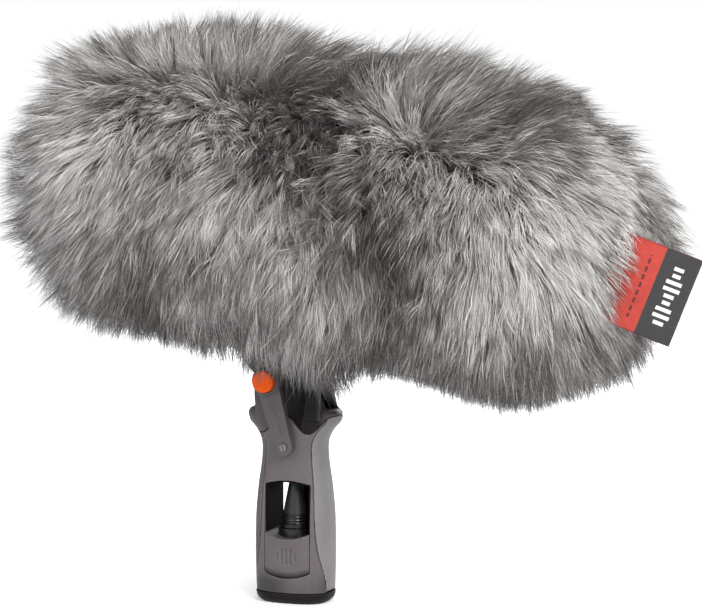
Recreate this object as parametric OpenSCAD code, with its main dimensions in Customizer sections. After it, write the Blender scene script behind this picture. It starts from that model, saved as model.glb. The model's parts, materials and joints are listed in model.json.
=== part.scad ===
// Basket windshield with a long-pile fur cover on a soft-grip pistol handle.
// The origin is the centre of the handle's bottom face. +X points to the
// rear of the windshield, -X to its nose, +Z up. The clamp lever is on -Y.

/* [Handle] */
// Height of the tilt hub's axis above the bottom face
hub_z = 121.4; // [119:0.2:122.4]
// Distance of the tilt hub's axis in front of the handle's centre line
hub_x = 9; // [8:0.5:10]
// Widest half-width of the grip, front to rear
grip_half = 21.7; // [21.5:0.1:23]
// Half-depth of the grip, side to side, at its widest
grip_depth = 15.6; // [15:0.1:16]
// Height of the hard base cap
base_h = 6; // [5.6:0.1:6.6]
// Bottom of the see-through window
sill_z = 37; // [34:0.5:40]
// Top of the see-through window
window_top = 67; // [65:0.5:68]

/* [Clamp lever] */
// Length of the clamp lever from hub to tip screw
lever_len = 36.8; // [32:0.4:40]
// How far the lever hangs to the rear of straight down, in degrees
lever_lean = 15.2; // [5:0.2:25]
// Radius of the push button in the lever's hub
button_r = 5.95; // [5.5:0.05:6]

/* [Windshield] */
// Nose-up tilt of the windshield as shown, in degrees
tilt = 9.5; // [0:0.5:20]
// Height of the windshield's axis over the tilt hub
axis_h = 97; // [97:0.5:100]
// Outer radius of the rigid basket
pod_r = 50; // [50:0.1:50.4]
// Front end of the basket's straight tube, ahead of the tilt hub
pod_front = 82; // [80:1:90]
// Rear end of the basket's straight tube, behind the tilt hub
pod_rear = 118; // [116:1:124]
// Outer radius of the fur where it is dense
fur_r = 86; // [82:1:88]
// Length of the pile beyond the basket's nose and tail
pile = 34; // [28:1:38]

/* [Suspension] */
// Position of the front microphone clip along the bar
front_clip_u = -50; // [-52:1:-48]
// Position of the rear microphone clip along the bar
rear_clip_u = 80; // [76:1:82]
// Bore radius of the microphone clips
clip_r = 9.5; // [9:0.5:10]

/* [Hidden] */
$fn = 64;

// Handle
grip_power = 2.7;      // exponent of the grip's squared-off oval
pad_gap = 0.15;        // between the core and each pad
wave_gap = 0.15;       // from the wave line to the parts on either side
base_screw_x = 11.61;
head_screw_x = 9;
channel_r = 4.2;       // cable channel
mouth_r = 8;           // bell mouth below the channel
window_half = 13;
window_arch_r = 40;
slot_z = 17.2;         // holder slot's corners
holder_dish_r = 30;    // lower edge of the holder and of its slot

// Tilt hub, distances in Y from its middle
bolt_r = 3;
arm_half = 7;          // half-thickness of the tilt arm
fork_half = 7.8;       // half-width of the fork's slot
cheek_half = 14;       // outer faces of the cheeks
nut_cover_y = 16.6;    // outer face of the nut cover
button_y = -26.3;      // outer face of the push button

// Plug and cable
shell_r = 9.5;
pin_r = 1.2;
cable_r = 2.5;

// Windshield
foot_length = 56.8;
foot_width = 16.8;
foot_gap = 0.2;        // around the foot in its slot
arm_screw_u = 20;
arm_screw_r = 2.5;
tube_in_r = pod_r - 2;
mesh_in_r = pod_r + 0.05;
mesh_out_r = pod_r + 0.65;
collar_in_r = 42.6;
bar_width = 16;
bar_z = 54.4;
bar_h = 6;
lock_z = 57.4;         // height of the lock screws over the hub
cable_x = 42.4;        // where the upper cable enters the basket
cable_y = 13;
fur_gap = 2;           // from the basket to the fur's inside

// ---- Shared helpers ----------------------------------------------------

// Cylinder along Z, starting at height z
module rod(radius, z, height) translate([0, 0, z])
  cylinder(r = radius, h = height);

// Box centred in X and Y, standing on height z
module slab(size, z) translate([-size[0] / 2, -size[1] / 2, z]) cube(size);

// Socket-head screw; each part is [radius, z, height]
module screw(shaft, head, socket) difference() {
  union() {
    rod(head[0], head[1], head[2]);
    rod(shaft[0], shaft[1], shaft[2]);
  }
  rod(socket[0], socket[1], socket[2], $fn = 6);
}

function arc(centre, radius, angles) =
  [for (a = angles) centre + radius * [cos(a), sin(a)]];

// Solid through rings of equally many points, each ring [[x, y, z], ...]
module loft(rings) {
  count = len(rings[0]);
  last = len(rings) - 1;
  polyhedron(
    points = [for (ring = rings) for (point = ring) point],
    faces = concat(
      [[for (i = [0:count - 1]) i]],
      [for (j = [0:last - 1]) for (i = [0:count - 1])
        let (low = j * count, high = low + count, next = (i + 1) % count)
        each [[low + i, high + i, high + next],
          [low + i, high + next, low + next]]],
      [[for (i = [count - 1:-1:0]) last * count + i]]));
}

// ---- Frames --------------------------------------------------------------

module at_hub() translate([-hub_x, 0, hub_z]) children();

// Windshield frame: origin on the hub axis, +X along the windshield
module in_windshield() at_hub() rotate([0, tilt, 0]) children();

// Z along the windshield's centre line, from distance u behind the hub
module on_axis(u) in_windshield() translate([u, 0, axis_h])
  rotate([0, 90, 0]) children();

// Ends of the basket's tube, Z running inwards from the end
module at_front_end() on_axis(-pod_front) children();
module at_rear_end() on_axis(pod_rear) mirror([0, 0, 1]) children();

// Cylinder along Y on the hub's axis
module hub_cylinder(radius, y_from, y_to)
  translate([-hub_x, y_from, hub_z]) rotate([-90, 0, 0])
    cylinder(r = radius, h = y_to - y_from);

// Disc across the grip starts at Y = 20 and runs towards -Y
module across_grip(z) translate([0, 20, z]) rotate([90, 0, 0]) children();

// Outline in X and Z, extruded evenly to both sides of Y = 0
module side_profile(depth) rotate([90, 0, 0])
  linear_extrude(depth, center = true) children();

module at_base_screws() for (x = [-base_screw_x, base_screw_x])
  translate([x, 0, 0]) children();
module at_head_screws() for (x = [-head_screw_x, head_screw_x])
  translate([x, 0, 0]) children();
module at_arm_screws() for (u = [-arm_screw_u, arm_screw_u])
  translate([u, 0, 0]) children();
module at_pins() for (a = [90, 210, 330])
  rotate([0, 0, a]) translate([3.9, 0, 0]) children();

// ---- Grip shape ----------------------------------------------------------

// [height, half-width along X] of the grip and head, before scaling
WIDTH_TABLE = [[0, 20.2], [2, 21.1], [5, 21.8], [9, 22.0], [17, 22.2],
  [26, 22.4], [36, 22.4], [46, 22.2], [53, 21.8], [60, 21.1], [66, 20.4],
  [72, 19.4], [78, 18.6], [84, 18.25], [88, 18.7], [90, 19.5],
  [92.5, 20.8], [94.5, 22.3], [96.5, 24.4], [98.5, 26.2], [101, 27.1],
  [103, 27.1], [105, 25.8], [107, 23.4], [110, 21.3], [114, 19.6],
  [119, 18.0]];
// [height, half-depth along Y], before scaling
DEPTH_TABLE = [[0, 14.6], [3, 15.2], [12, 15.5], [30, 15.6], [46, 15.3],
  [60, 14.6], [72, 13.9], [84, 13.5], [96, 13.6], [119, 13.8]];
// [height, thickness of the rubber pads in from the grip's outer edge]
PAD_TABLE = [[6, 0.9], [11, 1.3], [17, 2.2], [22, 3.2], [28, 4.6],
  [36, 5.8], [46, 6.2], [56, 6.0], [66, 5.4], [72, 5.0], [80, 4.7],
  [104, 4.5]];
// Heights of the rings that the core and pads share
GRIP_STATIONS = [9, 13, 18, 22, 28, 36, 46, 53, 60, 66, 72, 78, 84, 88,
  90, 92.5, 94.5, 96.5, 98.5, 101, 103];
HEAD_STATIONS = [88, 90, 92.5, 94.5, 96.5, 98.5, 101, 103, 105, 107, 110,
  113];

// The tables' widest values, 22.4 and 15.6, scale to the driving sizes
function grip_x(z) = grip_half / 22.4 * lookup(z, WIDTH_TABLE);
function grip_y(z) = grip_depth / 15.6 * lookup(z, DEPTH_TABLE);
function pad_thickness(z) = lookup(z, PAD_TABLE);

// Point at parameter angle a on a squared-off oval at height z
function side_of(v) = v < 0 ? -1 : 1;
function oval(a, half_x, half_y, z) = [
  half_x * side_of(cos(a)) * pow(abs(cos(a)), 2 / grip_power),
  half_y * side_of(sin(a)) * pow(abs(sin(a)), 2 / grip_power),
  z];
function oval_ring(half_x, half_y, z) =
  [for (i = [0:35]) oval(i * 10 + 5, half_x, half_y, z)];

// Oval's angle where a flat edge cuts it, gap inside the pad's inner edge
function edge_angle(z, gap) =
  acos(pow((grip_x(z) - pad_thickness(z) - gap) / grip_x(z),
    grip_power / 2));

// The hard middle of the grip, its ends cut flat where the pads sit
module core_body(stations) loft([for (z = stations)
  let (start = edge_angle(z, pad_gap), span = 180 - 2 * start)
  [for (turn = [0, 180], i = [0:16])
    oval(start + span * i / 16 + turn, grip_x(z), grip_y(z), z)]]);

// Line between grip and head, a double wave across X
function wave(x) = 97.4 + 5 * cos((x + 2) / 13.6 * 180);

// Everything from gap above the wave up to height top
module above_wave(top, gap) side_profile(80) polygon(concat(
  [for (x = [-30:2:30]) [x, wave(x) + gap]],
  [[30, top], [-30, top]]));

// One rubber pad; turn is 0 for the rear and 180 for the front
module grip_pad(turn) difference() {
  loft([for (z = concat([7], GRIP_STATIONS)) let (edge = edge_angle(z, 0))
    [for (i = [-8:8])
      oval(i * edge / 8 + turn, grip_x(z), grip_y(z), z)]]);
  above_wave(130, -wave_gap);
}

// Block of the window's outline, drawn in by inset, from a bottom height up
function arch(x) = window_top - window_arch_r
  + sqrt(window_arch_r * window_arch_r - x * x);
module window_block(inset, bottom, depth) {
  half = window_half - inset;
  side_profile(depth) polygon(concat(
    [[-half, bottom], [half, bottom]],
    [for (i = [0:20]) let (x = half * (1 - i / 10)) [x, arch(x) - inset]]));
}

// ---- Handle --------------------------------------------------------------

// X of a line beside the pad's inner edge, on the rear half
function groove_x(z, offset) = grip_x(z) - pad_thickness(z) - offset;

module handle_core() color("#5d5759") difference() {
  core_body(concat([base_h + 0.05], GRIP_STATIONS));
  above_wave(130, -wave_gap);
  // window and holder slot, through from side to side
  window_block(0, slot_z, 40);
  // dished lower edge of the holder slot
  across_grip(slot_z + 27) intersection() {
    cylinder(r = holder_dish_r, h = 40);
    translate([-window_half, -40, -1]) cube([2 * window_half, 40, 42]);
  }
  // cable channel from the window up to the fork
  rod(channel_r, 50, 70);
  // bell mouth that the plug's boot lifts into
  rod(mouth_r, window_top - 6, 9);
  translate([0, 0, window_top + 2.9])
    cylinder(r1 = mouth_r, r2 = channel_r, h = 18);
  // insert and screw pockets
  cylinder(r = 6.5, h = 11.4);
  at_base_screws() cylinder(r = 1.6, h = 12);
  at_head_screws() rod(1.6, 80, 40);
  // thin parting grooves beside the side panels
  for (y_side = [-1, 1], x_side = [-1, 1])
    translate([0, y_side * 15.9, 0]) side_profile(2.2) polygon(concat(
      [for (z = [14:6:92]) [x_side * groove_x(z, 0.9), z]],
      [for (z = [92:-6:14]) [x_side * groove_x(z, 1.4), z]]));
}

module grip_pad_front() color("#8b8787") grip_pad(180);
module grip_pad_rear() color("#8b8787") grip_pad(0);

// How far the cap's rounded lower edge is drawn in at height z
round_h = 3.6;
function cap_inset(z) =
  z < round_h ? 2.2 * pow(1 - z / round_h, 2) : 0;

module base_cap() color("#2b2725") difference() {
  loft([for (z = [0, 0.5, 1.1, 2, 3.4, base_h])
    oval_ring(grip_x(z) - cap_inset(z) + 0.4,
      grip_y(z) - cap_inset(z) + 0.2, z)]);
  rod(7.5, -1, 20);
  at_base_screws() {
    rod(1.65, -1, 20);
    rod(3.2, -1, 3.5);
  }
}

module thread_insert() color("#b08d57") difference() {
  union() {
    cylinder(r = 7.4, h = base_h);
    cylinder(r = 6.4, h = 11.2);
  }
  rod(3.97, -1, 30);
}

module base_screws() color("#8c8c8c") at_base_screws()
  screw(shaft = [1.5, 2.3, 9], head = [3, 0.6, 1.8],
    socket = [1.4, 0, 1.6]);

// Block under the window; its pocket parks the cable's plug
bar_pitch = 2.5;
module plug_holder() color("#5f5a5c") difference() {
  intersection() {
    core_body([10, 18, 22, 28, 36, 44]);
    slab([25.7, 40, 30], 12);
    // dished lower edge
    across_grip(44.6) cylinder(r = holder_dish_r, h = 40);
  }
  // dished sill
  across_grip(sill_z + 26) cylinder(r = 27.6, h = 40);
  rod(shell_r + 0.1, 17, 30);
  // sunk bars of uneven height on both faces
  for (side = [-1, 1], k = [0:4])
    translate([(k - 2) * bar_pitch, side * 15.7, 26]) side_profile(1.5)
      square([1.3, 4 + 2.5 * (k % 2) + 2.2 * (2 - abs(k - 2))],
        center = true);
}

// Dark liner in the window, with a web on the +Y side of the plug's boot
liner_z = 39.2;
module window_liner() color("#1f1c1b") union() {
  difference() {
    window_block(0.1, liner_z, 23.6);
    window_block(1.1, 30, 40);
    rod(mouth_r + 0.4, 50, 40);
  }
  difference() {
    translate([-0.8, 10.4, liner_z])
      cube([13.5, 1.3, window_top - 4 - liner_z]);
    rod(mouth_r + 0.4, 50, 40);
  }
}

// Side outline of the fork's cheeks
module cheek_side() side_profile(2 * cheek_half) polygon(concat(
  [[-17.6, 100], [-18.2, 106], [-18.6, 112]],
  arc([-hub_x, hub_z], 10.4, [170:-10:20]),
  arc([4.6, hub_z + 6], 5, [-150:10:-60]),
  [[8.6, hub_z + 7.5], [11, hub_z + 9.3], [13.6, hub_z + 8.6],
    [15.2, hub_z + 5], [16.4, hub_z - 1], [17.8, 111], [19, 106],
    [19, 100]]));

// Head: the flared top of the grip and the fork for the tilt hub
module yoke_head() color("#524c4e") difference() {
  union() {
    intersection() {
      loft([for (z = HEAD_STATIONS) oval_ring(grip_x(z), grip_y(z), z)]);
      above_wave(150, wave_gap);
    }
    intersection() {
      cheek_side();
      above_wave(150, wave_gap);
    }
  }
  // slot of the fork
  slab([80, 2 * fork_half, 60], 105.2);
  // hollow beside the hub on each cheek
  for (side = [-1, 1]) translate([2.2, side * 20.4, 88])
    rotate([0, 8, 0]) cylinder(r = 8.6, h = 60);
  // bolt bore, and nut pocket in the +Y cheek
  hub_cylinder(bolt_r + 0.05, -20, 20);
  hub_cylinder(6.2, 11, 20);
  // cable channel
  rod(channel_r, 80, 40);
  at_head_screws() {
    rod(1.65, 80, 40);
    rod(3.1, 102, 20);
  }
}

module head_screws() color("#8c8c8c") at_head_screws()
  screw(shaft = [1.5, 81, 22], head = [2.9, 102.1, 2],
    socket = [1.3, 103, 3]);

// One washer in each gap between the arm and the fork
module friction_washers() color("#c9c4b8") {
  inner = arm_half + 0.05;
  outer = fork_half - 0.05;
  for (side = [-1, 1]) difference() {
    hub_cylinder(11.5, side > 0 ? inner : -outer,
      side > 0 ? outer : -inner);
    hub_cylinder(3.4, -10, 10);
  }
}

module tilt_nut() color("#9a9a9a") difference() {
  at_hub() translate([0, 11.1, 0]) rotate([-90, 30, 0])
    cylinder(r = 5.6, h = 2.9, $fn = 6);
  hub_cylinder(bolt_r + 0.02, 0, 20);
}

// Round cover over the nut, its outer face dished
module nut_cover() color("#2b2725") difference() {
  hub_cylinder(7.4, cheek_half + 0.1, nut_cover_y);
  hub_cylinder(3.6, cheek_half, 15.4);
  at_hub() translate([0, nut_cover_y + 14.4, 0]) sphere(r = 14.9);
}

// ---- Clamp lever ---------------------------------------------------------

// Within the hub frame: Z points outwards to -Y, Y up
module lever_hub() rotate([90, 0, 0]) children();
// The same, leant with the arm
module leant() rotate([0, -lever_lean, 0]) lever_hub() children();
module at_tip() leant() translate([0, -lever_len, 0]) children();

module lever_arm() color("#4b4648") at_hub() difference() {
  union() {
    lever_hub() rod(7.9, 14.9, 6.4);
    leant() translate([0, 0, 15.6]) linear_extrude(4.9) polygon(concat(
      [[-6.4, 0], [6.4, 0]],
      arc([0, -lever_len], 4.7, [0:-12:-180])));
    lever_hub() rod(7.5, 21, 1.6);
  }
  // seat of the button and bore for the bolt
  lever_hub() rod(6, 18.4, 10);
  lever_hub() rod(bolt_r + 0.02, 10, 20);
  // tip screw hole
  at_tip() {
    rod(1.3, 10, 20);
    rod(2.2, 19.3, 5);
  }
  // finger groove along the face of the arm
  leant() translate([0, 0, 20]) linear_extrude(3)
    polygon([[-1.2, -11], [1.2, -11], [0.9, -30], [-0.9, -30]]);
}

// Slotted screw at the lever's tip
module lever_screw() color("#c8c8c8") at_hub() at_tip() difference() {
  union() {
    rod(1.25, 16, 4);
    rod(2.1, 19.4, 1.5);
  }
  translate([-0.35, -3, 20.4]) cube([0.7, 6, 2]);
}

module tilt_bolt() color("#9a9a9a") union() {
  hub_cylinder(bolt_r, -17.6, 15.2);
  hub_cylinder(5.6, -19.6, -18.5);
  hub_cylinder(bolt_r, -18.6, -17.5);
}

// Button with a rounded edge and a dished face
module push_button() color("#f26a1b") {
  edge_r = 0.95;
  edge_y = button_y + 0.9;
  difference() {
    union() {
      hub_cylinder(button_r, edge_y, -21.6);
      hub_cylinder(button_r - 0.9, button_y, edge_y + 0.1);
      at_hub() translate([0, edge_y, 0]) rotate([90, 0, 0])
        rotate_extrude() translate([button_r - edge_r, 0])
          circle(r = edge_r);
    }
    at_hub() translate([0, button_y - 24.1, 0]) sphere(r = 24.5);
  }
}

// ---- Cable plug parked in the handle -------------------------------------

module xlr_shell() color("#1d1c1c") difference() {
  rod(shell_r, 17.1, 22.9);
  rod(8, 16, 18);
  rod(6, 30, 20);
}

module xlr_insert() color("#2f2f31") difference() {
  rod(7.95, 30.2, 3.7);
  at_pins() rod(pin_r + 0.02, 28, 10);
}

module xlr_pins() color("#d9d4c5") at_pins() translate([0, 0, 19.5])
  union() {
    cylinder(r = pin_r, h = 17);
    sphere(r = pin_r);
  }

// Stepped ring above the shell, with three beads round its middle
module xlr_ring() color("#242424") difference() {
  union() {
    rod(8.4, 40.1, 2.3);
    rod(7.3, 42.3, 3);
    for (k = [0:2]) translate([0, 0, 42.6 + k * 1.7])
      rotate_extrude() translate([6.9, 0]) circle(r = 0.7);
    rod(7, 45.2, 2.7);
  }
  rod(5.5, 38, 12);
}

module xlr_boot() color("#2c2c2e") difference() {
  union() {
    translate([0, 0, 48]) cylinder(r1 = 6.9, r2 = 6.3, h = 3);
    translate([0, 0, 51]) cylinder(r1 = 6.3, r2 = 3.4, h = 15);
    rod(5.4, 40.2, 8);
  }
  rod(cable_r + 0.05, 36, 40);
}

module cable_lower() color("#232323") rod(cable_r, 38, 46);

// ---- Windshield base -----------------------------------------------------

// Opening round the chassis foot
module foot_slot(z, height)
  slab([foot_length + 2 * foot_gap, foot_width + 2 * foot_gap, height], z);

// Cylinder on the windshield's axis, within its frame
module axis_cylinder(radius) translate([-60, 0, axis_h])
  rotate([0, 90, 0]) cylinder(r = radius, h = 120);

// Hub disc and a web that flares to the flange under the basket
module tilt_arm() color("#1f1d1d") in_windshield() difference() {
  union() {
    rotate([90, 0, 0]) cylinder(r = 12.5, h = 2 * arm_half, center = true);
    side_profile(2 * arm_half) polygon(concat(
      [for (t = [0:0.1:1]) [-12.4 - 27.6 * pow(t, 0.72), 36.2 * t]],
      [[-40, 41], [40, 41]],
      [for (t = [1:-0.1:0]) [12.4 + 27.6 * pow(t, 0.9), 36.2 * t]]));
    slab([80, 30, 5], 36);
  }
  // two round windows lighten the web
  for (side = [-1, 1]) translate([side * 15.5, 0, 25])
    rotate([90, 0, 0]) cylinder(r = 5, h = 20, center = true);
  rotate([90, 0, 0])
    cylinder(r = bolt_r + 0.05, h = 30, center = true);
  at_arm_screws() {
    rod(arm_screw_r + 0.1, 30.5, 20);
    rod(4.7, 28.5, 4.4);
  }
}

module saddle_pad() color("#3a3636") in_windshield() difference() {
  slab([78, 32, 12], 41.1);
  axis_cylinder(pod_r + 0.75);
  foot_slot(38, 30);
}

// Block through the tube's slot, with a flange fitted to the tube's inside
module chassis_foot() color("#2a2828") in_windshield() difference() {
  union() {
    slab([foot_length, foot_width, 13], 41.2);
    intersection() {
      slab([68, 24, 8.2], 46);
      axis_cylinder(tube_in_r - 0.1);
    }
  }
  at_arm_screws() rod(arm_screw_r + 0.1, 30, 40);
}

module arm_screws() color("#9a9a9a") in_windshield() at_arm_screws()
  screw(shaft = [arm_screw_r, 32.7, 27], head = [4.5, 29.4, 3.4],
    socket = [2.2, 28, 3.4]);

module chassis_bar() color("#8f9296") in_windshield() difference() {
  translate([-68, -bar_width / 2, bar_z]) cube([170, bar_width, bar_h]);
  at_arm_screws() rod(arm_screw_r + 0.02, 50, 20);
  // a long slot near each end
  for (u = [-56, 62]) translate([u, -2, 50]) cube([30, 4, 20]);
}

// ---- Basket --------------------------------------------------------------

// Cylinder over the tube's length, longer by extra at each end
module pod_cylinder(radius, extra = 0) on_axis(-pod_front - extra)
  cylinder(r = radius, h = pod_front + pod_rear + 2 * extra);

// Slot for the foot and hole for the cable
module pod_openings() {
  in_windshield() foot_slot(40, 20);
  in_windshield() translate([cable_x, cable_y, 30])
    cylinder(r = 3.4, h = 40);
}

module pod_tube() color("#3d3d3f") difference() {
  pod_cylinder(pod_r);
  pod_cylinder(tube_in_r, 1);
  // rows of lattice windows, none along the bottom
  for (k = [0:4], a = [30:30:330]) on_axis(-pod_front + 18 + k * 34)
    rotate([0, 0, a]) translate([40, -8, 0]) cube([20, 16, 28]);
  pod_openings();
}

module pod_mesh() color("#77787a") difference() {
  pod_cylinder(mesh_out_r);
  pod_cylinder(mesh_in_r, 1);
  pod_openings();
}

// Bayonet ring glued in a tube end, its mouth at Z = 0
module ring_body() difference() {
  cylinder(r = tube_in_r - 0.1, h = 14);
  rod(45, -1, 20);
  // turning groove for the lugs
  rod(46.6, 5, 4.4);
  // entry slots
  for (a = [0:120:240]) rotate([0, 0, a]) translate([40, -6, -1])
    cube([6.9, 12, 8]);
}

// Turned collar and lugs of an end cap
module cap_collar() union() {
  difference() {
    cylinder(r = 44.9, h = 13);
    rod(collar_in_r, -1, 20);
  }
  for (a = [0:120:240]) rotate([0, 0, a + 20]) intersection() {
    translate([43, -5, 5.3]) cube([4, 10, 3.8]);
    difference() {
      cylinder(r = 46.5, h = 20);
      cylinder(r = 44, h = 20);
    }
  }
}

// Domed lattice with its rim at Z = 0 and the dome towards -Z
rib_width = 2.6;
module cap_dome() union() {
  difference() {
    rod(pod_r - 0.25, -4.5, 4.4);
    rod(collar_in_r, -5, 10);
  }
  intersection() {
    difference() {
      sphere(r = pod_r);
      sphere(r = pod_r - 2.4);
    }
    slab([120, 120, 59], -60);
    // ribs, hoops and middle disc
    union() {
      for (a = [0:30:150]) rotate([0, 0, a])
        cube([120, rib_width, 120], center = true);
      for (hoop_r = [18, 34]) difference() {
        rod(hoop_r + rib_width / 2, -60, 60);
        rod(hoop_r - rib_width / 2, -61, 62);
      }
      rod(7, -60, 60);
    }
  }
}

module cap_frame() union() {
  cap_dome();
  translate([0, 0, -0.2]) cap_collar();
}

module dome_skin() difference() {
  sphere(r = mesh_out_r);
  sphere(r = mesh_in_r);
  slab([120, 120, 120], -0.3);
}

module front_ring() color("#4a4b4e") at_front_end() ring_body();
module rear_ring() color("#4a4b4e") at_rear_end() ring_body();
module front_cap_frame() color("#3d3d3f") at_front_end() cap_frame();
module rear_cap_frame() color("#3d3d3f") at_rear_end() cap_frame();
module front_cap_mesh() color("#77787a") at_front_end() dome_skin();
module rear_cap_mesh() color("#77787a") at_rear_end() dome_skin();

// ---- Suspension ----------------------------------------------------------

// Block that slides along the bar
module carrier(u) in_windshield() translate([u, 0, 0]) difference() {
  slab([16, 21, 13.2], 52.6);
  // running track round the bar
  slab([40, bar_width + 0.12, bar_h + 0.12], bar_z - 0.06);
  slab([40, 12, 6], 50);
  translate([0, -20, lock_z]) rotate([-90, 0, 0])
    cylinder(r = 2.05, h = 15);
}
module front_carrier() color("#2a2828") carrier(front_clip_u);
module rear_carrier() color("#2a2828") carrier(rear_clip_u);

// Unit normal of a curve at point i
function normal(points, i) = let (
  step = points[min(len(points) - 1, i + 1)] - points[max(0, i - 1)])
  [-step[1], step[0]] / norm(step);

// Ribbon of even width along a curve
module ribbon(points, width) polygon(concat(
  [for (i = [0:len(points) - 1])
    points[i] + normal(points, i) * width / 2],
  [for (i = [len(points) - 1:-1:0])
    points[i] - normal(points, i) * width / 2]));

// Cubic curve with ends a and d and control points b and c
function bezier(a, b, c, d, steps) = [for (i = [0:steps])
  let (t = i / steps)
  a * pow(1 - t, 3) + b * 3 * t * pow(1 - t, 2)
    + c * 3 * t * t * (1 - t) + d * pow(t, 3)];

// One side of the lyre, foot to clip, as [across, up] curves
LYRE_CURVES = [
  bezier([6, 67.4], [30, 66], [40, 92], [30, 108], 18),
  bezier([30.3, 107.4], [26, 116], [19, 108], [21, 99], 12),
  bezier([20.9, 100], [21.6, 96], [17, 94.6], [13.1, 95.4], 8)];

// Lyre: a foot with two springy loops that meet the clip at both sides
module lyre(u) in_windshield() translate([u, 0, 0]) rotate([90, 0, 90])
  linear_extrude(11, center = true) union() {
    translate([-9, 66]) square([18, 3]);
    for (s = [0, 1]) mirror([s, 0])
      for (curve = LYRE_CURVES) ribbon(curve, 2.2);
  }
module front_lyre() color("#c7503f") lyre(front_clip_u);
module rear_lyre() color("#c7503f") lyre(rear_clip_u);

module mic_clip(u) on_axis(u) difference() {
  rod(12.9, -6, 12);
  rod(clip_r, -7, 14);
  // mouth, towards the top
  translate([-20, -6.5, -7]) cube([14, 13, 14]);
}
module front_mic_clip() color("#2a2828") mic_clip(front_clip_u);
module rear_mic_clip() color("#2a2828") mic_clip(rear_clip_u);

// Screw on the carrier's -Y side, its knob fluted
module lock_screw(u) in_windshield() translate([u, 0, lock_z])
  rotate([90, 0, 0]) difference() {
    union() {
      rod(2, 8.2, 4);
      rod(4.6, 11.2, 5);
    }
    for (a = [0:45:315]) rotate([0, 0, a]) translate([5.3, 0, 10])
      cylinder(r = 1.1, h = 10);
  }
module front_lock_screw() color("#2f2f31") lock_screw(front_clip_u);
module rear_lock_screw() color("#2f2f31") lock_screw(rear_clip_u);

// Round cable through points, with a moulded knuckle at each bend
module cable_run(points, radius) union()
  for (i = [0:len(points) - 2]) {
    step = points[i + 1] - points[i];
    translate(points[i])
      rotate([0, acos(step[2] / norm(step)), atan2(step[1], step[0])])
        cylinder(r = radius, h = norm(step));
    if (i > 0) translate(points[i]) sphere(r = radius + 0.4);
  }

module cable_upper() color("#232323") in_windshield() cable_run(
  [[cable_x, cable_y, 22], [cable_x, cable_y, 62], [136, cable_y, 62],
    [157, 0, axis_h], [150.2, 0, axis_h]], 2.2);

module mic_connector() color("#2c2c2e") on_axis(108) difference() {
  union() {
    cylinder(r = 9.3, h = 34);
    rod(7, 33.9, 8);
  }
  rod(7.6, -1, 12);
}

// ---- Fur cover -----------------------------------------------------------

// Nose and tail of the fur along the windshield
nose_u = -(pod_front + pod_r + pile + 4);
tail_u = pod_rear + pod_r + pile + 4;
fur_mid = (nose_u + tail_u) / 2;
fur_half = (tail_u - nose_u) / 2;

// Fur's outer radius at distance u, with a shallow waist near the hub
function waist(u) = -4 * exp(-pow((u - 2) / 26, 2));
function fur_at(u) = (fur_r + waist(u))
  * pow(max(0, 1 - pow(abs((u - fur_mid) / fur_half), 4.2)), 0.46);

module fur_solid() on_axis(0) rotate_extrude($fn = 96) polygon(concat(
  [[0, nose_u]],
  [for (i = [1:47]) let (u = fur_mid - fur_half * cos(i * 180 / 48))
    [fur_at(u), u]],
  [[0, tail_u]]));

// Round-ended opening for the handle, from height z up
slot_front = -26;
slot_rear = 30;
slot_half = 22;
module fur_slot(grow, z, height) in_windshield() translate([0, 0, z]) {
  half = slot_half + grow;
  translate([slot_front, -half, 0])
    cube([slot_rear - slot_front, 2 * half, height]);
  for (u = [slot_front, slot_rear]) translate([u, 0, 0])
    cylinder(r = half, h = height);
}

module fur_cover() color("#8a8682") difference() {
  fur_solid();
  pod_cylinder(pod_r + fur_gap);
  on_axis(-pod_front) sphere(r = pod_r + fur_gap);
  on_axis(pod_rear) sphere(r = pod_r + fur_gap);
  fur_slot(0, -20, 75);
  // slit that the label's root passes through
  at_label() cube([45, 3.4, 49], center = true);
}

module hem_band() color("#262424") difference() {
  fur_slot(-0.15, 37, 3.5);
  fur_slot(-1.2, 36, 6);
}

// Curved strip under the front end of the basket, inside the fur
module closure_strip() color("#262424") intersection() {
  difference() {
    on_axis(-pod_front) cylinder(r = pod_r + 1.9, h = 32);
    on_axis(-pod_front - 1) cylinder(r = pod_r + 0.75, h = 40);
  }
  in_windshield() translate([-120, -10, 30]) cube([66, 20, 30]);
}

// Tab sewn in the fur's rear end, on the -Y side
module at_label() in_windshield() translate([197, -38, axis_h - 9])
  rotate([0, 0, 15]) rotate([0, 12, 0]) children();
module label_tab() color("#c8352b") at_label()
  cube([42, 1.2, 46], center = true);

handle_core();
grip_pad_front();
grip_pad_rear();
base_cap();
thread_insert();
base_screws();
plug_holder();
window_liner();
yoke_head();
head_screws();
friction_washers();
tilt_nut();
nut_cover();
lever_arm();
lever_screw();
tilt_bolt();
push_button();
xlr_shell();
xlr_insert();
xlr_pins();
xlr_ring();
xlr_boot();
cable_lower();
tilt_arm();
saddle_pad();
chassis_foot();
arm_screws();
chassis_bar();
pod_tube();
pod_mesh();
front_ring();
rear_ring();
front_cap_frame();
front_cap_mesh();
rear_cap_frame();
rear_cap_mesh();
front_carrier();
rear_carrier();
front_lyre();
rear_lyre();
front_mic_clip();
rear_mic_clip();
front_lock_screw();
rear_lock_screw();
cable_upper();
mic_connector();
fur_cover();
closure_strip();
hem_band();
label_tab();
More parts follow.
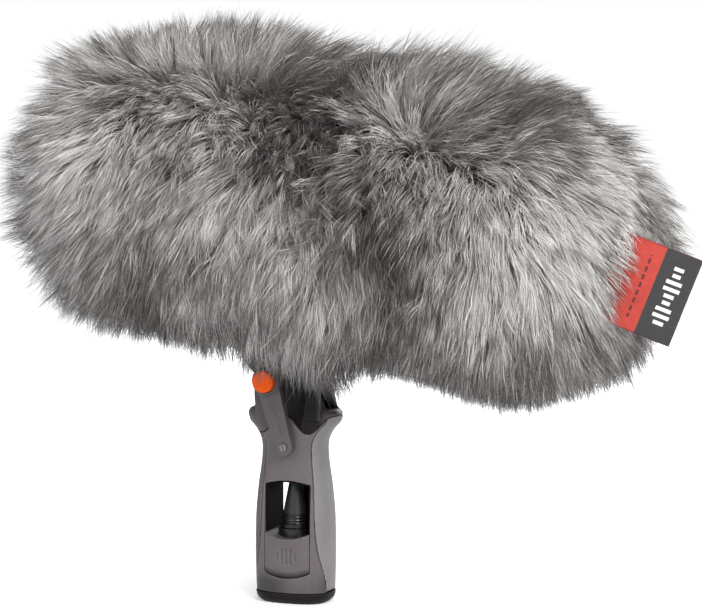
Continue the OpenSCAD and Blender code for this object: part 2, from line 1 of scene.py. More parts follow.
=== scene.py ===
"""A fur-covered microphone windshield on a tilting pistol grip.

The frame is in metres with +Z up. The windshield lies roughly along X with its nose at low X.
It is tilted about a hub on top of the grip, so it has axes of its own, set up below. The
camera looks from the -Y side.
"""
import json
import math
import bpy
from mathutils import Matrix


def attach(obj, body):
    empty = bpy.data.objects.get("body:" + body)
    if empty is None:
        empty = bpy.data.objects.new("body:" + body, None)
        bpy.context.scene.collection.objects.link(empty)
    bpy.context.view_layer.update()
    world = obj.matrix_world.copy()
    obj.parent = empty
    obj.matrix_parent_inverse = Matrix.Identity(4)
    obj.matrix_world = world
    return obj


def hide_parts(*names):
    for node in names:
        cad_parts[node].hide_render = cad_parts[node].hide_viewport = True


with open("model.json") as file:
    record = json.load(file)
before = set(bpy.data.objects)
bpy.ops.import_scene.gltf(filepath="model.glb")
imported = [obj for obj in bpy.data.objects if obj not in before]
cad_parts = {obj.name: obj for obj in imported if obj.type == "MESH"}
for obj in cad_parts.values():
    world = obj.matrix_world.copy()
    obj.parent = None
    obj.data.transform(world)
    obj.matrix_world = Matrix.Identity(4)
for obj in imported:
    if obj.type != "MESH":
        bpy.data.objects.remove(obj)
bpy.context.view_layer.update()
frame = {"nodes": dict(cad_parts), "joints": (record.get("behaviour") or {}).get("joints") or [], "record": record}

from types import SimpleNamespace

import bmesh
import bpy
import numpy as np
from mathutils import Vector
from mathutils.kdtree import KDTree

scene = bpy.context.scene
RECORD = frame["record"]
NODE_SLOT = {part["node"]: part["material_slot"] for part in RECORD["subparts"]}
BODY_OF = {node: body for body, nodes in RECORD["behaviour"]["bodies"].items() for node in nodes}


# ---------------------------------------------------------------- helpers
def link(obj):
    scene.collection.objects.link(obj)
    return obj


def shade_smooth(mesh):
    mesh.polygons.foreach_set("use_smooth", [True] * len(mesh.polygons))


def mesh_object(name, verts, faces):
    mesh = bpy.data.meshes.new(name)
    mesh.from_pydata([tuple(v) for v in verts], [], [tuple(f) for f in faces])
    mesh.validate()
    mesh.update()
    shade_smooth(mesh)
    return link(bpy.data.objects.new(name, mesh))


def node_obj(name):
    # a node may be listed as its object or only under its name
    node = frame["nodes"][name]
    return node if hasattr(node, "data") else bpy.data.objects[name]


def joint(name):
    # joints may be keyed by name or come as a list
    joints = frame["joints"]
    if isinstance(joints, dict):
        return joints[name]
    return next(j for j in joints if j["name"] == name)


def apply_mods(obj):
    depsgraph = bpy.context.evaluated_depsgraph_get()
    depsgraph.update()
    mesh = bpy.data.meshes.new_from_object(obj.evaluated_get(depsgraph))
    obj.modifiers.clear()
    old = obj.data
    obj.data = mesh
    mesh.name = obj.name
    bpy.data.meshes.remove(old)


# ---------------------------------------------------------------- the windshield's own axes
HUB = np.array(joint("windshield_tilt")["pos_m"], float)
MOUNTS = {mount["name"]: mount for mount in RECORD["mounts"]}
FRONT_CLIP = np.array(MOUNTS["front_clip"]["pos_m"])
REAR_CLIP = np.array(MOUNTS["rear_clip"]["pos_m"])
ALONG = (REAR_CLIP - FRONT_CLIP) / np.linalg.norm(REAR_CLIP - FRONT_CLIP)   # u, to the rear
ACROSS = np.array([0.0, 1.0, 0.0])                                         # v
UP = np.cross(ALONG, ACROSS)                                               # w, square to both
AXIS_W = float(np.dot(FRONT_CLIP - HUB, UP))     # height of the windshield's axis over the hub


def place(u, v, w):
    """Windshield coordinates, in metres from the hub, to points of the frame."""
    u, v, w = np.broadcast_arrays(u, v, w)
    return HUB + u[..., None] * ALONG + v[..., None] * ACROSS + w[..., None] * UP


def measure(points):
    """Points of the frame to windshield coordinates u, v, w."""
    offset = np.asarray(points) - HUB
    return offset @ ALONG, offset @ ACROSS, offset @ UP


# ---------------------------------------------------------------- shader building
MATERIALS = {}


def give(obj, material):
    obj.data.materials.clear()
    obj.data.materials.append(MATERIALS[material])


class Shader:
    """A new material; its methods add nodes and return their output sockets."""

    def __init__(self, name):
        material = bpy.data.materials.new(name)
        MATERIALS[name] = material
        material.use_nodes = True
        self.tree = material.node_tree
        self.tree.nodes.clear()
        output = self.add("ShaderNodeOutputMaterial")
        self.bsdf = self.add("ShaderNodeBsdfPrincipled")
        self.feed(output.inputs["Surface"], self.bsdf.outputs["BSDF"])

    def add(self, kind):
        return self.tree.nodes.new(kind)

    def feed(self, socket, value):
        """Link a socket, or set a colour or a number."""
        if isinstance(value, bpy.types.NodeSocket):
            self.tree.links.new(value, socket)
        elif hasattr(value, "__len__"):
            socket.default_value = (*value, 1.0)
        else:
            socket.default_value = value

    def surface(self, values):
        for name, value in values.items():
            self.feed(self.bsdf.inputs[name], value)

    def coords(self, scale=(1, 1, 1)):
        source = self.add("ShaderNodeTexCoord")
        mapping = self.add("ShaderNodeMapping")
        mapping.inputs["Scale"].default_value = scale
        self.feed(mapping.inputs["Vector"], source.outputs["Object"])
        return mapping.outputs["Vector"]

    def split(self, vector):
        node = self.add("ShaderNodeSeparateXYZ")
        self.feed(node.inputs["Vector"], vector)
        return [node.outputs[axis] for axis in "XYZ"]

    def uv(self, layer):
        node = self.add("ShaderNodeUVMap")
        node.uv_map = layer
        return self.split(node.outputs["UV"])[:2]

    def pointiness(self):
        return self.add("ShaderNodeNewGeometry").outputs["Pointiness"]

    def noise(self, vector, scale, detail=4.0, rough=0.55):
        node = self.add("ShaderNodeTexNoise")
        node.inputs["Scale"].default_value = scale
        node.inputs["Detail"].default_value = detail
        node.inputs["Roughness"].default_value = rough
        self.feed(node.inputs["Vector"], vector)
        return node.outputs["Fac"]

    def ramp(self, factor, stops):
        """Stops are (position, grey or colour)."""
        node = self.add("ShaderNodeValToRGB")
        elements = node.color_ramp.elements
        while len(elements) < len(stops):
            elements.new(0.5)
        for element, (position, colour) in zip(elements, stops):
            element.position = position
            element.color = (*(colour if hasattr(colour, "__len__") else (colour,) * 3), 1.0)
        self.feed(node.inputs["Fac"], factor)
        return node.outputs["Color"]

    def math(self, operation, *values):
        node = self.add("ShaderNodeMath")
        node.operation = operation
        for socket, value in zip(node.inputs, values):
            self.feed(socket, value)
        return node.outputs[0]

    def mix(self, factor, a, b, blend="MIX"):
        node = self.add("ShaderNodeMix")
        node.data_type = "RGBA"
        node.blend_type = blend
        for index, value in ((0, factor), (6, a), (7, b)):     # the colour version's sockets
            self.feed(node.inputs[index], value)
        return node.outputs[2]

    def multiply(self, a, b, amount=1.0):
        return self.mix(amount, a, b, "MULTIPLY")

    def bump(self, height, strength, distance, normal=None):
        node = self.add("ShaderNodeBump")
        node.inputs["Strength"].default_value = strength
        node.inputs["Distance"].default_value = distance
        self.feed(node.inputs["Height"], height)
        if normal is not None:
            self.feed(node.inputs["Normal"], normal)
        return node.outputs["Normal"]


# ---------------------------------------------------------------- moulded and woven materials
def painted_foot_shade(shader, colour, coords, mottle, unshaded_z):
    """Painted shade: darken towards the foot of the grip, with none from the given height up."""
    mid_x = 0.0085
    x, _, z = shader.split(coords)
    height = shader.math("ADD", z, shader.math("MULTIPLY", mottle, 0.006))
    foot_shade = shader.ramp(height, [(0.011, 0.70), (unshaded_z, 1.0)])
    colour = shader.multiply(colour, foot_shade)
    # painted shade: the lowest part is darker again away from its middle
    low = shader.ramp(z, [(0.0125, 1.0), (0.0175, 0.0)])
    off_mid = shader.math("ABSOLUTE", shader.math("SUBTRACT", x, mid_x))
    sides = shader.ramp(off_mid, [(0.006, 1.0), (0.016, 0.45)])
    return shader.multiply(colour, shader.mix(low, (1.0, 1.0, 1.0), sides))


def painted_fork_shadow(shader):
    """Painted shadow: near black in the bay between the two cheeks of the head, where the fur above shades it."""
    mid_x = 0.0090
    x, _, _ = shader.split(shader.coords())
    off_mid = shader.math("ABSOLUTE", shader.math("SUBTRACT", x, mid_x))
    return shader.ramp(off_mid, [(0.0098, 0.20), (0.0128, 1.0)])


def block_mask(shader):
    """Shade along the curved lower lip of the plug block."""
    lip_z, lip_curve = 0.0146, 14.4       # the lip follows z = lip_z + lip_curve * x * x
    x, _, z = shader.split(shader.coords())
    arc = shader.math("MULTIPLY", shader.math("MULTIPLY", x, x), lip_curve)
    above = shader.math("SUBTRACT", shader.math("SUBTRACT", z, lip_z), arc)
    return shader.ramp(above, [(0.0007, 0.10), (0.0020, 1.0)])


def moulded(name, col, rough, grain=0.00005, grain_scale=2200.0, var=0.12, wear=None, metal=0.0,
            coat=0.0, spec=0.5, streak=(1, 1, 1), sheen=0.0, cavity=0.0, inner=0.0, foot=0.0,
            mask=None):
    """Plastic, rubber or metal: mottled colour, uneven sheen, fine surface grain.

    grain is the bump height, var the spread of the mottling, wear an edge colour and amount,
    streak the scale of the grain's space, cavity the painted shade in corners, inner the reach
    of the painted shade inside recesses, foot the height where the painted shade at the foot
    ends, mask a function returning a painted shade.
    """
    shader = Shader(name)
    coords = shader.coords()
    mottle = shader.noise(coords, scale=38.0, detail=5.0, rough=0.6)
    darker = [x * (1 - var) for x in col]
    paler = [min(1.0, x * (1 + var)) for x in col]
    colour = shader.ramp(mottle, [(0.3, darker), (0.7, paler)])
    speck = shader.noise(coords, scale=900.0, detail=3.0, rough=0.7)
    speck = shader.ramp(speck, [(0.35, 0.86), (0.65, 1.08)])
    colour = shader.multiply(colour, speck, amount=0.35)
    # painted shade inside recesses, from occlusion by the piece itself
    if inner:
        occlusion = shader.add("ShaderNodeAmbientOcclusion")
        occlusion.samples = 6
        occlusion.only_local = True
        occlusion.inputs["Distance"].default_value = inner
        shade = shader.ramp(occlusion.outputs["AO"], [(0.42, 0.09), (0.90, 1.0)])
        colour = shader.multiply(colour, shade)
    # painted shade towards the foot
    if foot:
        colour = painted_foot_shade(shader, colour, coords, mottle, foot)
    specular = spec
    # painted shade from the mask, which also dims the highlights
    if mask:
        shade = mask(shader)
        specular = shader.math("MULTIPLY", shade, spec)
        colour = shader.multiply(colour, shade)
    # painted shade in corners
    if cavity:
        shade = shader.ramp(shader.pointiness(), [(0.40, 0.18), (0.485, 1.0)])
        colour = shader.multiply(colour, shade, amount=cavity)
    if wear:
        edge = shader.ramp(shader.pointiness(), [(0.5, 0.0), (0.57, 1.0)])
        scuff = shader.noise(coords, scale=160.0, detail=6.0, rough=0.7)
        scuff = shader.ramp(scuff, [(0.42, 0.0), (0.62, 1.0)])
        rubbed = shader.math("MULTIPLY", shader.math("MULTIPLY", edge, scuff), wear[1])
        colour = shader.mix(rubbed, colour, wear[0])
    rough_var = 0.08
    polish = shader.noise(coords, scale=70.0, detail=6.0, rough=0.65)
    polish = shader.ramp(polish, [(0.25, max(0.02, rough - rough_var)),
                                  (0.75, min(1.0, rough + rough_var))])
    shader.surface({"Base Color": colour, "Roughness": polish, "Metallic": metal,
                    "Coat Weight": coat, "Coat Roughness": 0.12, "Specular IOR Level": spec})
    if mask:
        shader.surface({"Specular IOR Level": specular})
    if sheen:
        shader.surface({"Sheen Weight": sheen, "Sheen Roughness": 0.5})
    fine = shader.noise(shader.coords(streak), scale=grain_scale, detail=2.0, rough=0.6)
    normal = shader.bump(fine, strength=0.55, distance=grain)
    soft = shader.noise(coords, scale=120.0, detail=3.0, rough=0.5)
    shader.surface({"Normal": shader.bump(soft, strength=0.25, distance=grain * 4,
                                          normal=normal)})


def woven(name, col, pitch, rough):
    """Cloth: crossed thread waves of one pitch, paler on the crowns."""
    shader = Shader(name)
    waves = []
    for axis in shader.split(shader.coords((1 / pitch,) * 3)):
        wave = shader.math("SINE", shader.math("MULTIPLY", axis, math.pi))
        waves.append(shader.math("ABSOLUTE", wave))
    crossed = shader.math("MULTIPLY", waves[0], waves[2])
    threads = shader.math("ADD", crossed, shader.math("MULTIPLY", waves[1], 0.35))
    mottle = shader.noise(shader.coords(), scale=60.0, detail=5.0, rough=0.6)
    base = shader.ramp(mottle, [(0.3, [x * 0.8 for x in col]),
                                (0.7, [min(1, x * 1.15) for x in col])])
    crown = shader.ramp(threads, [(0.1, 0.55), (0.8, 1.15)])
    shader.surface({"Base Color": shader.multiply(base, crown, amount=0.8),
                    "Roughness": rough, "Sheen Weight": 0.3,
                    "Normal": shader.bump(threads, strength=0.7, distance=0.00012)})


SHELL = dict(col=(0.112, 0.097, 0.101), rough=0.44, wear=((0.24, 0.22, 0.22), 0.35), cavity=1.0)
GRIP = dict(grain=0.00006, grain_scale=1500.0, cavity=0.9)
# the shell gets painted shade towards its foot
moulded("hard_shell", **SHELL, foot=0.021)
moulded("hard_block", **SHELL, mask=block_mask)
moulded("hard_lever", (0.080, 0.069, 0.072), rough=0.42, wear=((0.20, 0.18, 0.18), 0.35),
        spec=0.45, cavity=1.0)
# the bay of the head gets a painted shadow
moulded("hard_head", (0.066, 0.057, 0.059), rough=0.36, wear=((0.15, 0.136, 0.136), 0.35),
        spec=0.45, cavity=1.0, inner=0.024, mask=painted_fork_shadow)
moulded("soft_grip", (0.2, 0.19, 0.193), rough=0.6, wear=((0.33, 0.32, 0.32), 0.25), spec=0.4,
        sheen=0.15, **GRIP)
# painted shade: a darker copy of soft_grip for the front pad, on the side away from the key light
moulded("soft_grip_front", (0.100, 0.093, 0.096), rough=0.58, wear=((0.28, 0.27, 0.27), 0.25),
        spec=0.35, sheen=0.05, **GRIP)
moulded("black_plastic", (0.014, 0.012, 0.012), rough=0.34, grain=0.00002, var=0.2, coat=0.1,
        spec=0.4, cavity=0.6)
moulded("liner_black", (0.0055, 0.0046, 0.0038), rough=0.8, var=0.25, spec=0.06)
moulded("base_plastic", (0.0065, 0.0055, 0.0045), rough=0.5, var=0.2,
        wear=((0.05, 0.046, 0.042), 0.3), spec=0.2)
moulded("button_orange", (0.76, 0.093, 0.002), rough=0.32, grain=0.00002, var=0.06, coat=0.06,
        spec=0.14, cavity=0.4)
moulded("steel", (0.22, 0.22, 0.23), rough=0.30, grain=0.00002, metal=1.0, streak=(1, 8, 1))
moulded("brass", (0.72, 0.5, 0.2), rough=0.3, grain=0.00002, metal=1.0, streak=(1, 1, 8))
moulded("connector_black", (0.02, 0.02, 0.022), rough=0.3, grain=0.00003, metal=0.6, coat=0.2)
moulded("contact_metal", (0.83, 0.68, 0.38), rough=0.22, grain=0.00001, metal=1.0)
moulded("boot_rubber", (0.017, 0.0172, 0.019), rough=0.42, var=0.2, spec=0.4)
moulded("washer_nylon", (0.05, 0.048, 0.048), rough=0.5)
moulded("bar_alloy", (0.5, 0.51, 0.52), rough=0.35, grain=0.00003, metal=1.0,
        streak=(0.1, 1, 1))
moulded("basket_plastic", (0.05, 0.05, 0.053), rough=0.5)
moulded("lyre_red", (0.5, 0.05, 0.03), rough=0.38, coat=0.15)
woven("acoustic_mesh", (0.2, 0.2, 0.205), pitch=0.0009, rough=0.7)
woven("hem", (0.025, 0.024, 0.024), pitch=0.0011, rough=0.9)

# every slot is named after its material, apart from these two
SLOT_MATERIAL = {"fur": "hem", "label_weave": "hem"}
for node in BODY_OF:
    slot = NODE_SLOT[node]
    give(node_obj(node), SLOT_MATERIAL.get(slot, slot))
give(node_obj("window_liner"), "liner_black")


# ---------------------------------------------------------------- moulded pieces
def soften(node, voxel, iterations, material):
    """Stand an evenly remeshed copy with eased edges in for a CAD node."""
    mesh = node_obj(node).data.copy()
    obj = link(bpy.data.objects.new(node + "_moulded", mesh))
    mesh.materials.clear()
    remesh = obj.modifiers.new("even", "REMESH")
    remesh.mode = "VOXEL"
    remesh.voxel_size = voxel
    remesh.use_smooth_shade = True
    ease = obj.modifiers.new("ease", "SMOOTH")
    ease.factor = 0.5
    ease.iterations = iterations
    apply_mods(obj)
    shade_smooth(obj.data)
    give(obj, material)
    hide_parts(node)
    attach(obj, BODY_OF[node])


# node, voxel size, smoothing steps, material
SOFTENED = [
    ("handle_core", 0.00043, 7, "hard_shell"),
    ("plug_holder", 0.0003, 3, "hard_block"),
    ("grip_pad_front", 0.00045, 9, "soft_grip_front"),
    ("grip_pad_rear", 0.00045, 9, "soft_grip"),
    ("base_cap", 0.00042, 6, "base_plastic"),
    ("yoke_head", 0.00042, 10, "hard_head"),
    ("lever_arm", 0.0003, 6, "hard_lever"),
    ("tilt_arm", 0.0005, 8, "black_plastic"),
    ("push_button", 0.00025, 4, "button_orange"),
    ("xlr_ring", 0.00025, 3, "connector_black"),
]
for entry in SOFTENED:
    soften(*entry)

# ---------------------------------------------------------------- fur: the capsule it grows on
NOSE, TAIL = -0.082, 0.118       # ends of the straight part, in u
R_ROOT = 0.060                   # hair roots
R_SKIN = 0.0645                  # matted under-pile
R_COMB = 0.082                   # surface the tables below are laid out on
DOWN = np.array([0.0, 0.0, -1.0])
rng = np.random.default_rng(7)


class Field:
    """Smooth random field in space: a fixed sum of waves, scale in metres."""

    def __init__(self, scale, dims=1, waves=20):
        self.wave = rng.normal(size=(waves, 3)) / scale
        self.phase = rng.uniform(0, 2 * math.pi, (dims, waves))
        self.amount = rng.normal(size=(dims, waves)) * math.sqrt(2.0 / waves)

    def __call__(self, points):
        angle = points @ self.wave.T
        return np.stack([(np.sin(angle + phase) * amount).sum(1)
                         for phase, amount in zip(self.phase, self.amount)], -1)


def unit(v):
    return v / np.maximum(np.linalg.norm(v, axis=-1, keepdims=True), 1e-9)


def bell(x, centre, width):
    return np.exp(-((x - centre) / width) ** 2)


def nearness(points, centres, size):
    """Gaussian weight of every centre at every point."""
    dist2 = (points * points).sum(1)[:, None] + (centres * centres).sum(1)[None]
    dist2 = dist2 - 2 * points @ centres.T
    return np.exp(-np.maximum(dist2, 0) / (2 * size * size))


def capsule_ring(u, radius):
    """How far u lies past the straight part, and the capsule's ring radius there."""
    past = u - np.clip(u, NOSE, TAIL)
    return past, np.sqrt(np.maximum(radius * radius - past * past, 0))


def on_capsule(u, degrees, radius):
    """Points, rearward and round-going tangents; 0 degrees is the -Y side, 90 the top."""
    u, angle = np.asarray(u, float), np.radians(np.asarray(degrees, float))
    _, ring = capsule_ring(u, radius)
    points = place(u, -ring * np.cos(angle), AXIS_W + ring * np.sin(angle))
    normals = unit(points - place(np.clip(u, NOSE, TAIL), 0, AXIS_W))
    around = np.sin(angle)[:, None] * ACROSS + np.cos(angle)[:, None] * UP
    rearward = np.cross(around, normals)
    rearward *= np.sign(rearward @ ALONG)[:, None]
    return points, rearward, around


def sample_roots(count):
    """Even random root points, their outward normals and their u."""
    t = rng.uniform(0, TAIL - NOSE + 2 * R_ROOT, count)   # a sphere's zone area goes with height
    angle = rng.uniform(0, 2 * math.pi, count)
    u = NOSE + (t - R_ROOT)
    past, ring = capsule_ring(u, R_ROOT)
    v, w = -ring * np.cos(angle), ring * np.sin(angle)
    normals = unit(past[:, None] * ALONG + v[:, None] * ACROSS + w[:, None] * UP)
    return place(u, v, AXIS_W + w), normals, u


# ---------------------------------------------------------------- fur: tables of the pile
# combing: u in mm, angle round the axis, direction of the nap (0 rearward, 90 up round the
# cover on the -Y side), lean away from upright; angles in degrees
COMB = np.array([
    (-144, -9, -143, 52), (-114, 11, -106, 54), (-137, 24, -163, 45), (-149, 53, 180, 32),
    (-140, 65, 180, 24), (-117, 61, 165, 18), (-98, 69, 120, 14), (-80, 84, 60, 12),
    (-66, 84, 40, 18), (-50, 92, 8, 36), (-30, 86, 8, 50), (-12, 84, 5, 64), (10, 85, 0, 76),
    (-105, 43, 128, 30), (-80, 54, 104, 36), (-53, 55, 94, 38), (-30, 52, 84, 38), (-11, 52, 50, 50),
    (-89, 28, -86, 50), (-66, 27, -80, 50), (-37, 27, -72, 50), (-14, 24, -68, 48),
    (-108, -10, -110, 56), (-83, -10, -98, 56), (-54, -6, -92, 56), (-27, -3, -86, 56),
    (0, -2, -78, 56), (9, 46, 18, 66), (1, 33, -24, 60), (31, 25, -7, 60), (18, 15, -60, 56),
    (43, 5, -70, 52), (30, -10, -78, 56), (-137, -37, -133, 52), (-111, -38, -119, 54),
    (-99, -58, -114, 48), (-59, -49, -100, 50), (-38, -68, -95, 48), (-26, -35, -93, 52),
    (0, -40, -88, 52), (30, -32, -88, 52), (58, -28, -88, 52), (54, -9, -80, 54),
    (84, 40, 23, 46), (70, 52, 83, 42), (88, 66, 45, 50), (54, 34, -150, 40), (54, 24, -122, 46),
    (38, 64, 40, 62), (38, 92, 5, 62), (111, 63, 18, 62), (85, 92, 3, 66), (115, 92, 0, 72),
    (144, 97, -4, 76), (178, 79, -8, 68), (190, 124, 0, 62), (156, 40, -18, 64), (122, 39, -18, 60),
    (103, 32, -31, 57), (82, 23, -56, 50), (151, 22, -39, 58), (172, 21, -38, 60), (123, 10, -58, 57),
    (101, 7, -68, 57), (78, 4, -76, 55), (57, 7, -86, 50), (168, -10, -70, 55), (150, -30, -78, 55),
    (127, -51, -85, 52), (170, -74, -95, 48), (105, -25, -84, 55), (81, -39, -88, 52),
    (61, -68, -92, 48), (187, -44, -77, 50), (100, -65, -92, 48),
    # +Y side: over the top and down
    (-120, 118, 140, 48), (-70, 122, 98, 46), (-25, 122, 60, 52), (20, 122, 48, 58), (65, 122, 50, 56),
    (110, 122, 45, 60), (155, 122, 55, 58), (-130, 175, 120, 55), (-80, 170, 98, 54), (-30, 170, 88, 54),
    (20, 170, 82, 55), (70, 170, 84, 54), (120, 170, 74, 56), (170, 170, 60, 56), (-110, 222, 110, 52),
    (-50, 222, 96, 50), (10, 222, 90, 50), (70, 222, 88, 50), (130, 222, 82, 52), (180, 215, 70, 50),
    (-60, -90, -90, 12), (0, -90, -90, 10), (60, -90, -90, 10), (120, -90, -90, 12)], float)
# round the partings the combing is moved forward and further up round the cover
COMB[:, 0] -= 17 * bell(COMB[:, 0], 72, 36) * bell(COMB[:, 1], 42, 32)
COMB[:, 1] += (21 + 8 / (1 + np.exp(COMB[:, 0] / 10))) * bell(COMB[:, 1], 42, 27)
COMB_POINTS, _rearward, _around = on_capsule(COMB[:, 0] / 1000, COMB[:, 1], R_COMB)
_nap = np.radians(COMB[:, 2])[:, None]
COMB_NAP = _rearward * np.cos(_nap) + _around * np.sin(_nap)

# tone patches: u in mm, angle in degrees, size in mm, amount (positive is darker)
PATCH = np.array([
    (-97, 12, 19, -0.25), (-83, 5, 13, -0.15), (15, -7, 12, -0.25), (-18, -33, 10, -0.20),
    (-36, -39, 9, -0.20), (47, -25, 13, -0.12), (-60, 64, 21, -0.15), (-111, 33, 16, -0.12),
    (-108, -18, 12, -0.10), (156, 19, 27, -0.28), (165, 66, 21, -0.28), (149, 78, 11, -0.20),
    (67, 43, 10, -0.28), (29, 78, 11, -0.15), (161, 0, 19, -0.15), (184, 55, 16, -0.20),
    (116, -19, 21, -0.05), (-147, 0, 11, 0.30), (-142, -50, 9, 0.30), (-2, 49, 19, 0.30),
    (15, 64, 13, 0.25), (25, 24, 15, 0.25), (-4, 37, 11, 0.15), (-69, -42, 21, 0.20),
    (-77, -80, 16, 0.22), (110, 59, 19, 0.22), (133, 49, 13, 0.20), (70, 2, 19, 0.25),
    (81, -16, 16, 0.12), (50, -65, 16, 0.30), (-25, -16, 8, 0.20), (46, 12, 13, 0.15),
    (114, -71, 27, 0.15), (176, -48, 21, 0.12), (-15, -80, 13, 0.20), (-94, -76, 16, 0.15),
    (-90, 165, 18, -0.22), (-20, 150, 20, 0.18), (40, 175, 22, -0.20), (105, 160, 22, 0.20),
    (150, 180, 20, -0.22), (-50, 205, 20, 0.15), (90, 220, 20, -0.12), (0, 215, 18, 0.15)], float)
PATCH_POINTS = on_capsule(PATCH[:, 0] / 1000, PATCH[:, 1], R_COMB)[0]
PATCH_SPREAD = 0.00085           # metres of spread per mm of patch size

# short and long areas: u in mm, angle in degrees, change as a share of the plain length
TRIM = np.array([
    (-150, 60, -0.52), (-125, 85, -0.55), (-98, 85, -0.55), (-70, 88, -0.00), (-42, 88, -0.20),
    (-14, 88, 0.19), (16, 88, 0.05), (46, 88, 0.28), (76, 88, -0.04), (106, 88, 0.05),
    (136, 88, -0.55), (160, 84, -0.55), (176, 60, -0.42), (184, 95, -0.51), (190, 30, -0.25),
    (-154, -30, -0.00), (-130, -70, 0.13), (-98, -78, 0.21), (-66, -78, -0.37), (-34, -78, 0.32),
    (-2, -78, -0.00), (32, -62, 0.18), (62, -78, -0.38), (92, -78, -0.20), (124, -78, -0.23),
    (154, -75, -0.15), (180, -50, -0.07), (-160, 20, -0.55), (-148, 100, 0.50), (198, 0, -0.55),
    (-110, 50, 0.20), (-80, 45, -0.55), (120, 50, 0.04), (150, 40, -0.08)], float)
TRIM_POINTS = on_capsule(TRIM[:, 0] / 1000, TRIM[:, 1], R_COMB)[0]

# the two places where the pile is tangled
TANGLE_POINTS = on_capsule([-0.012, 0.022], [42, 22], R_ROOT)[0]

nap_drift = Field(0.030, dims=3)
nap_jitter = Field(0.008, dims=3)
length_field = Field(0.016)
broad_field = Field(0.040)
middle_field = Field(0.012)
fine_field = Field(0.005)


# ---------------------------------------------------------------- fur: growing the hairs
HAIR_POINTS = 5                  # points along each hair
HAIR_LENGTH = 0.0425
LOCKS, TUFTS, HAIRS = 1300, 15000, 128000
ALONG_HAIR = np.linspace(0, 1, HAIR_POINTS)


def nap_at(roots, normals):
    """Nap direction along the surface, and lean in radians."""
    weight = nearness(roots + normals * (R_COMB - R_ROOT), COMB_POINTS, 0.0145) + 1e-9
    total = weight.sum(1, keepdims=True)
    nap = (weight @ COMB_NAP) / total
    lean = (weight @ COMB[:, 3:4]) / total
    nap = nap + nap_drift(roots) * 0.10 + nap_jitter(roots) * 0.09
    nap = nap - (nap * normals).sum(1, keepdims=True) * normals
    strength = np.linalg.norm(nap, axis=1, keepdims=True)
    # where the combing cancels out the hair stands up
    return nap / np.maximum(strength, 1e-6), np.radians(lean) * np.clip(strength * 1.35, 0.15, 1)


def grow(roots, normals, length, splay, curl):
    """Hairs stand at the root and bend over with the nap; count x HAIR_POINTS x 3."""
    nap, lean = nap_at(roots, normals)
    side = np.cross(normals, nap)
    points = [roots]
    segments = HAIR_POINTS - 1
    step = (length / segments)[:, None]
    for i in range(segments):
        s = (i + 0.5) / segments
        bend = lean * (0.36 + 0.86 * s)
        heading = (normals * np.cos(bend) + nap * np.sin(bend) + splay * (0.55 + 0.9 * s)
                   + side * curl[:, None] * s + DOWN * 0.13 * s)
        points.append(points[-1] + unit(heading) * step)
    return np.stack(points, 1)


def in_slot(points, margin=0.0):
    """Inside the opening under the windshield, grown by the margin."""
    u, v, w = measure(points)
    return ((np.abs(v) < 0.0205 + margin) & (w < AXIS_W)
            & (u > -0.046 - margin) & (u < 0.050 + margin))


def pile_length(roots, normals, u):
    weight = nearness(roots + normals * (R_COMB - R_ROOT), TRIM_POINTS, 0.019)
    trim = (weight @ TRIM[:, 2]) / np.maximum(weight.sum(1), 0.8)
    # shorter in a waist near the middle, longer in a skirt low on the -Y side
    waist = 0.10 * bell(u, 0.006, 0.020) * np.clip(normals @ UP + 0.5, 0, 1)
    low = np.clip(-(normals @ UP), 0, 1)
    skirt = 0.22 * bell(u, 0.031, 0.012) * low * (measure(roots)[1] < 0)
    return HAIR_LENGTH * (1 + trim - waist + skirt) * (1 + 0.06 * length_field(roots)[:, 0])


def nearest(points, queries):
    tree = KDTree(len(points))
    for i, point in enumerate(points):
        tree.insert(point, i)
    tree.balance()
    return np.fromiter((tree.find(query)[1] for query in queries), int, len(queries))


def tangle(roots):
    return 1 + 1.3 * nearness(roots, TANGLE_POINTS, 0.017).sum(1)


def grow_locks():
    """The big locks that tufts follow."""
    roots, normals, u = sample_roots(LOCKS)
    splay = rng.normal(0, 0.12, (LOCKS, 3)) * tangle(roots)[:, None]
    curl = rng.normal(0, 0.20, LOCKS) * tangle(roots)
    length = pile_length(roots, normals, u) * rng.uniform(0.88, 1.12, LOCKS)
    return SimpleNamespace(roots=roots, splay=splay, curl=curl,
                           path=grow(roots, normals, length, splay, curl),
                           tone=rng.normal(0, 1, LOCKS))


def grow_tufts(locks):
    """Small tufts that lean to the middle of their lock."""
    roots, normals, u = sample_roots(TUFTS)
    lock = nearest(locks.roots, roots)
    splay = rng.normal(0, 0.11, (TUFTS, 3)) * tangle(roots)[:, None]
    splay = locks.splay[lock] + splay
    curl = locks.curl[lock] + rng.normal(0, 0.20, TUFTS)
    length = pile_length(roots, normals, u) * rng.uniform(0.74, 1.14, TUFTS)
    path = grow(roots, normals, length, splay, curl)
    path += (locks.path[lock] - path) * (0.18 * ALONG_HAIR ** 1.6)[None, :, None]
    return SimpleNamespace(roots=roots, lock=lock, splay=splay, curl=curl, path=path,
                           tone=rng.normal(0, 1, TUFTS), pull=rng.uniform(0.25, 0.80, TUFTS))


